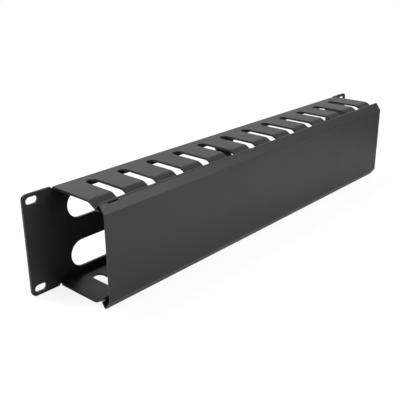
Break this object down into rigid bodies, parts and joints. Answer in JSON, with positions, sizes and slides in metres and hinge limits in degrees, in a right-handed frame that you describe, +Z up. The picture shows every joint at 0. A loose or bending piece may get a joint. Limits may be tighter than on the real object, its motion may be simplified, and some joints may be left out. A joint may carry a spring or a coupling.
{
  "type": "horizontal cable manager",
  "caption": "Rack-mount cable manager: folded steel channel with comb-slotted flanges, slotted rack ears, long rear cable openings and a pull-off front cover.",
  "frame": {"origin": "centre of the four rack holes, on the rear face of the ears", "axes": "+X along the rack's width, +Y into the rack, +Z up"},
  "size_m": [0.4826, 0.0654, 0.0888],
  "materials": {
    "base_channel": "black powder coat, fine texture, satin",
    "front_cover": "black powder coat, fine texture, satin"
  },
  "bodies": {
    "channel": {"base_channel": "base_channel"},
    "cover": {"front_cover": "front_cover"}
  },
  "joints": [
    {"name": "cover_pull", "type": "slide", "parent": "channel", "child": "cover", "axis": [0, -1, 0], "range_m": [0, 0.05]}
  ]
}
